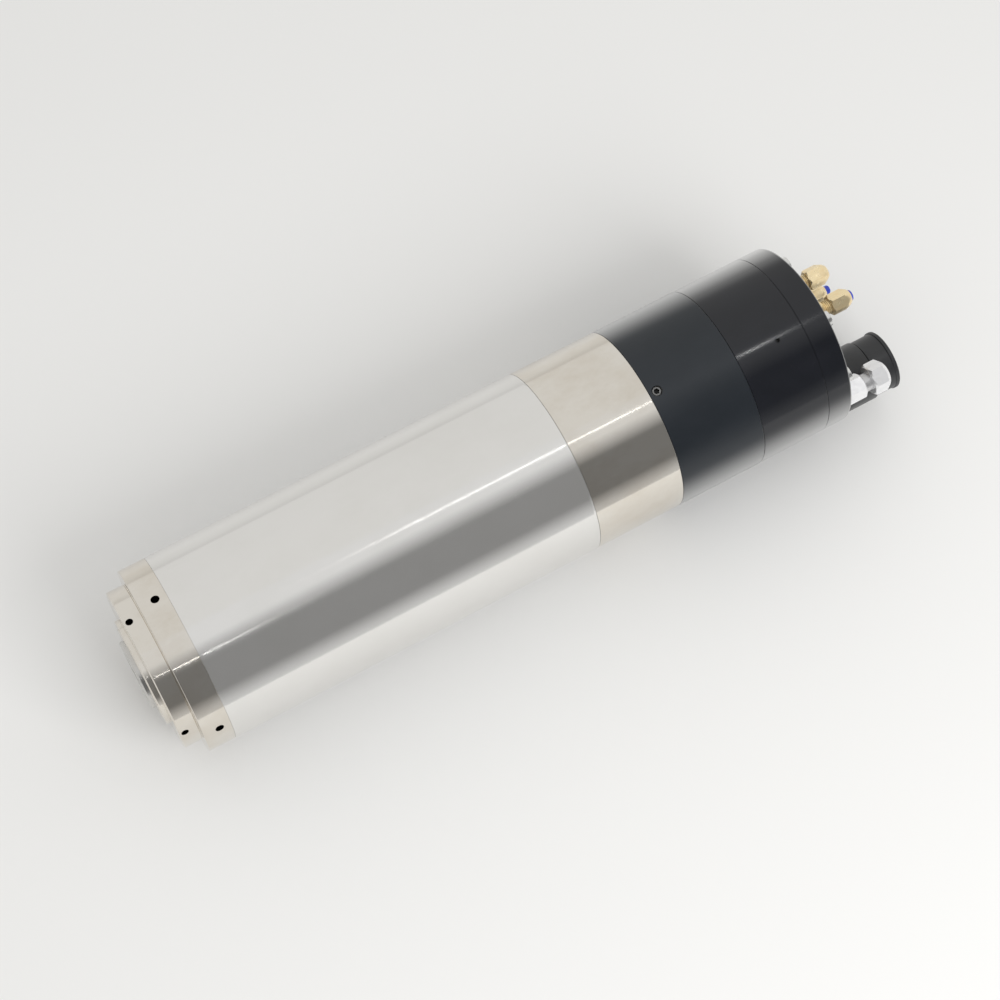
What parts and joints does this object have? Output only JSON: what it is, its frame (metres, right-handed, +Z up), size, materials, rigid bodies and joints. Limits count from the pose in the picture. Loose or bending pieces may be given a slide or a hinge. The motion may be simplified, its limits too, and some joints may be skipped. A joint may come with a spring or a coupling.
{
  "type": "motor spindle",
  "caption": "Cylindrical water-cooled motor spindle with a stepped nose, a drawbar collet, an air release cylinder behind the motor, and unions and a capped round connector on its rear face.",
  "frame": {"origin": "middle of the collet's mouth, in the plane of the shaft's nose face, on the spindle axis", "axes": "spindle axis along X, nose towards -X, connections towards +X; +Z up with the spindle lying as stored; set screw and first spanner holes near +Z"},
  "size_m": [0.424, 0.1, 0.1],
  "materials": {
    "ground_steel": "cylindrically ground, fine satin lines round the axis",
    "polished_steel": "turned and polished, warm tone",
    "shaft_steel": "hardened and ground",
    "bearing_steel": "polished bearing steel",
    "cage_resin": "phenolic resin, machined",
    "spring_steel": "phosphated spring steel",
    "jacket_aluminium": "turned aluminium",
    "lamination": "stacked electrical sheet, varnished",
    "copper": "enamelled copper",
    "rubber": "nitrile seal",
    "black_barrel": "black anodised, matte",
    "black_gloss": "black anodised, semi-gloss",
    "screw_steel": "zinc plated",
    "brass": "machined brass",
    "blue_plug": "blue polyurethane",
    "nickel": "nickel plated brass",
    "connector_black": "black moulded connector",
    "connector_resin": "black insulating insert",
    "pin_gold": "gold plated contact"
  },
  "bodies": {
    "housing": {"front_cover": "polished_steel", "nose_ring": "polished_steel", "front_cartridge": "shaft_steel", "front_outer_races": "bearing_steel", "outer_spacer": "shaft_steel", "housing_sleeve": "ground_steel", "water_jacket": "jacket_aluminium", "jacket_seals": "rubber", "stator_core": "lamination", "stator_windings": "copper", "rear_bearing_housing": "polished_steel", "rear_outer_race": "bearing_steel", "preload_spring": "spring_steel", "rear_bearing_cover": "shaft_steel", "cylinder_barrel": "black_barrel", "set_screws": "screw_steel", "return_spring": "spring_steel", "services_housing": "black_gloss", "transfer_tubes": "copper", "rear_cap": "black_gloss", "cap_screws": "screw_steel", "union_bodies": "brass", "union_nuts": "brass", "union_plugs": "blue_plug", "fitting_body": "nickel", "fitting_nut": "nickel", "connector_shell": "connector_black", "connector_insert": "connector_resin", "connector_pins": "pin_gold"},
    "shaft": {"shaft": "shaft_steel", "slinger": "polished_steel", "front_inner_races": "bearing_steel", "inner_spacer": "shaft_steel", "front_locknut": "shaft_steel", "rotor_core": "lamination", "rotor_end_rings": "jacket_aluminium", "rear_inner_race": "bearing_steel", "rear_locknut": "shaft_steel", "disc_springs": "spring_steel"},
    "drawbar": {"collet": "shaft_steel", "drawbar": "shaft_steel", "drawbar_nut": "shaft_steel"},
    "piston": {"piston": "jacket_aluminium", "piston_seal": "rubber"},
    "front_rolling": {"front_balls": "bearing_steel", "front_cages": "cage_resin"},
    "rear_rolling": {"rear_balls": "bearing_steel", "rear_cage": "cage_resin"},
    "dust_cap": {"dust_cap": "connector_black"}
  },
  "joints": [
    {"name": "shaft_spin", "type": "hinge", "parent": "housing", "child": "shaft", "pos_m": [0, 0, 0], "axis": [1, 0, 0], "continuous": true},
    {"name": "piston_slide", "type": "slide", "parent": "housing", "child": "piston", "axis": [-1, 0, 0], "range_m": [0, 0.0075], "stiffness_N_per_m": 3000, "springref_m": -0.004, "deforming": ["return_spring"]},
    {"name": "drawbar_slide", "type": "slide", "parent": "shaft", "child": "drawbar", "axis": [-1, 0, 0], "range_m": [0, 0.006], "deforming": ["disc_springs"]},
    {"name": "front_cage_spin", "type": "hinge", "parent": "housing", "child": "front_rolling", "pos_m": [0, 0, 0], "axis": [1, 0, 0], "continuous": true},
    {"name": "rear_cage_spin", "type": "hinge", "parent": "housing", "child": "rear_rolling", "pos_m": [0, 0, 0], "axis": [1, 0, 0], "continuous": true},
    {"name": "dust_cap_pull", "type": "slide", "parent": "housing", "child": "dust_cap", "axis": [1, 0, 0], "range_m": [0, 0.03]}
  ],
  "couplings": [
    {"joint": "drawbar_slide", "follows": "piston_slide", "ratio": 0.8},
    {"joint": "front_cage_spin", "follows": "shaft_spin", "ratio": 0.4182},
    {"joint": "rear_cage_spin", "follows": "shaft_spin", "ratio": 0.4168}
  ]
}
